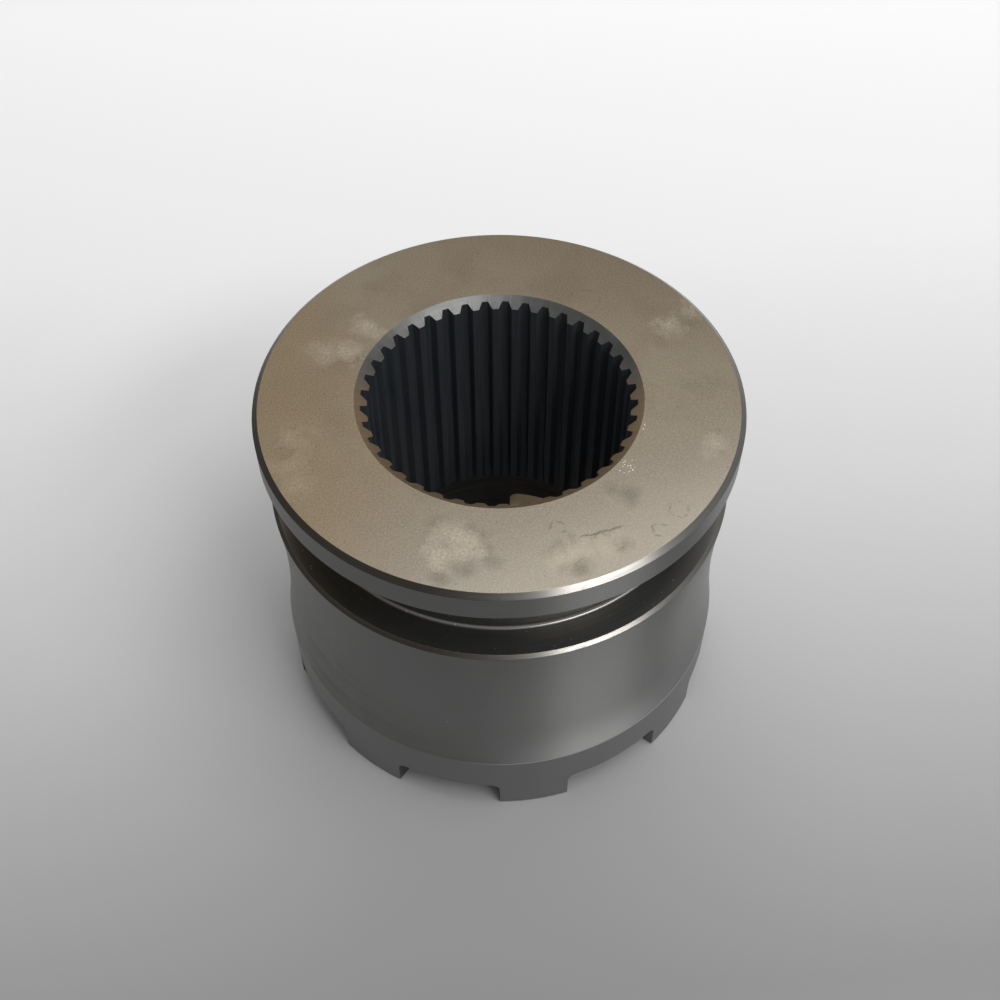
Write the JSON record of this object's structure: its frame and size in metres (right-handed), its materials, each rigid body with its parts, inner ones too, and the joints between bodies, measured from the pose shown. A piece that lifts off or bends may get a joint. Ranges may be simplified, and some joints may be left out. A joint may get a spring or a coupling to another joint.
{
  "type": "differential lock sliding sleeve",
  "caption": "Steel shift sleeve with an internally splined bore, a fork groove under its top flange and a ring of clutch jaws below.",
  "frame": {"origin": "centre of the plane of the jaw tips", "axes": "+Z along the spline axis, from the jaws to the flange; +X through the middle of a gap between two jaws"},
  "size_m": [0.11, 0.11, 0.09],
  "materials": {
    "machined_steel": "ground top face, satin turned sides"
  },
  "bodies": {
    "root": {"sliding_sleeve": "machined_steel"}
  },
  "joints": []
}
